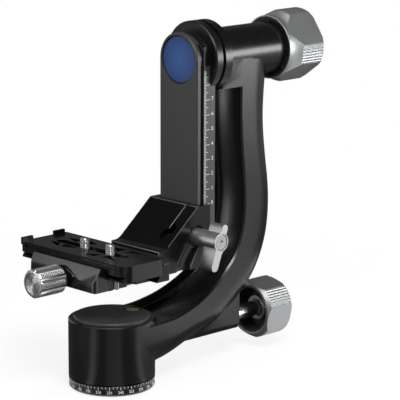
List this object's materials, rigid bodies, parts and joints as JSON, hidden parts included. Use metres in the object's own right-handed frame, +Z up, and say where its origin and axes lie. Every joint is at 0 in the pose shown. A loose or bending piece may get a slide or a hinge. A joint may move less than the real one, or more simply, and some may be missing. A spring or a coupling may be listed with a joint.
{
  "type": "gimbal tripod head",
  "caption": "Gimbal head: barrel base with bubble level, curved arm, tilting rail with sliding platform, screw clamp and camera plate, lock knobs and lever",
  "frame": {"origin": "centre of the base's bottom face, on the pan axis", "axes": "+Z up along the pan axis, tilt axis along X at z = 210 mm with the badge facing -X, camera plate along Y with the locking lever on the -Y side"},
  "size_m": [0.2284, 0.1146, 0.2348],
  "materials": {
    "black_anodised": "satin black anodised casting",
    "dark_anodised": "dark grey anodised, fine bead blasted",
    "silver_anodised": "clear anodised, machined",
    "bright_steel": "turned steel",
    "spring_steel": "spring wire",
    "bronze": "sintered bronze",
    "black_plastic": "moulded black plastic",
    "badge_blue": "blue metallic paint, bare",
    "level_fluid": "clear dome over yellow-green fluid"
  },
  "bodies": {
    "base": {"base_flange": "black_anodised", "pan_spindle": "bright_steel", "spindle_screw_1": "bright_steel", "spindle_screw_2": "bright_steel", "spindle_screw_3": "bright_steel", "spindle_washer": "bright_steel", "spindle_nut": "bright_steel"},
    "pan_arm": {"main_arm": "black_anodised", "barrel_cap": "dark_anodised", "level_bezel": "black_plastic", "level_vial": "level_fluid", "lower_pan_bearing": "bright_steel", "upper_pan_bearing": "bright_steel", "front_tilt_bearing": "bright_steel", "rear_tilt_bearing": "bright_steel"},
    "pan_shoe": {"pan_brake_shoe": "bronze"},
    "pan_knob": {"pan_lock_stud": "bright_steel", "pan_lock_knob": "silver_anodised", "pan_knob_liner": "black_plastic"},
    "swing": {"swing_rail": "dark_anodised", "rail_badge": "badge_blue", "tilt_shaft": "bright_steel", "tilt_shaft_screw_1": "bright_steel", "tilt_shaft_screw_2": "bright_steel", "tilt_shaft_screw_3": "bright_steel", "friction_washer": "black_plastic"},
    "tilt_washer": {"tilt_thrust_washer": "bright_steel"},
    "tilt_knob": {"tilt_lock_knob": "silver_anodised", "tilt_knob_insert": "black_plastic"},
    "platform": {"platform_bracket": "black_anodised", "clamp_stop_pin": "bright_steel", "clamp_screw": "bright_steel", "near_jaw_spring": "spring_steel", "far_jaw_spring": "spring_steel"},
    "lever_core": {"lever_stud": "silver_anodised", "lever_screw": "bright_steel", "lever_spring": "spring_steel"},
    "lever": {"lock_lever": "silver_anodised"},
    "jaw": {"clamp_jaw": "black_anodised", "near_guide_pin": "bright_steel", "far_guide_pin": "bright_steel", "clamp_washer": "black_plastic"},
    "clamp_knob": {"clamp_knob": "silver_anodised", "clamp_knob_disc": "dark_anodised"},
    "plate": {"camera_plate": "dark_anodised", "near_stop_screw": "bright_steel", "far_stop_screw": "bright_steel"},
    "front_screw": {"camera_screw_1": "bright_steel"},
    "rear_screw": {"camera_screw_2": "bright_steel"}
  },
  "joints": [
    {"name": "pan_turn", "type": "hinge", "parent": "base", "child": "pan_arm", "pos_m": [0, 0, 0.02], "axis": [0, 0, 1], "continuous": true},
    {"name": "pan_shoe_travel", "type": "slide", "parent": "pan_arm", "child": "pan_shoe", "axis": [1, 0, 0], "range_m": [0, 0.00125]},
    {"name": "pan_knob_turn", "type": "hinge", "parent": "pan_shoe", "child": "pan_knob", "pos_m": [0.13, 0, 0.027], "axis": [1, 0, 0], "range_deg": [0, 360]},
    {"name": "tilt_turn", "type": "hinge", "parent": "pan_arm", "child": "swing", "pos_m": [0.1, 0, 0.21], "axis": [1, 0, 0], "continuous": true},
    {"name": "tilt_washer_travel", "type": "slide", "parent": "swing", "child": "tilt_washer", "axis": [1, 0, 0], "range_m": [0, 0.0015]},
    {"name": "tilt_knob_turn", "type": "hinge", "parent": "tilt_washer", "child": "tilt_knob", "pos_m": [0.15, 0, 0.21], "axis": [1, 0, 0], "range_deg": [0, 360]},
    {"name": "platform_slide", "type": "slide", "parent": "swing", "child": "platform", "axis": [0, 0, 1], "range_m": [0, 0.085]},
    {"name": "lever_turn", "type": "hinge", "parent": "platform", "child": "lever_core", "pos_m": [0.0548, -0.035, 0.0952], "axis": [0, 1, 0], "range_deg": [-60, 60]},
    {"name": "lever_lift", "type": "slide", "parent": "lever_core", "child": "lever", "axis": [0, -1, 0], "range_m": [0, 0.003], "stiffness_N_per_m": 800, "springref_m": -0.002, "deforming": ["lever_spring"]},
    {"name": "jaw_travel", "type": "slide", "parent": "platform", "child": "jaw", "axis": [-1, 0, 0], "range_m": [0, 0.0035], "deforming": ["near_jaw_spring", "far_jaw_spring"]},
    {"name": "clamp_knob_turn", "type": "hinge", "parent": "jaw", "child": "clamp_knob", "pos_m": [-0.04, 0.017, 0.0744], "axis": [-1, 0, 0], "range_deg": [0, 1260]},
    {"name": "plate_slide", "type": "slide", "parent": "platform", "child": "plate", "axis": [0, 1, 0], "range_m": [-0.0018, 0.0024]},
    {"name": "front_screw_slide", "type": "slide", "parent": "plate", "child": "front_screw", "axis": [0, 1, 0], "range_m": [-0.012, 0.023]},
    {"name": "rear_screw_slide", "type": "slide", "parent": "plate", "child": "rear_screw", "axis": [0, 1, 0], "range_m": [-0.0126, 0.0016]}
  ],
  "couplings": [
    {"joint": "pan_knob_turn", "follows": "pan_shoe_travel", "rad_per_m": 5026.5},
    {"joint": "tilt_knob_turn", "follows": "tilt_washer_travel", "rad_per_m": 4188.8},
    {"joint": "clamp_knob_turn", "follows": "jaw_travel", "rad_per_m": 6283.2}
  ]
}
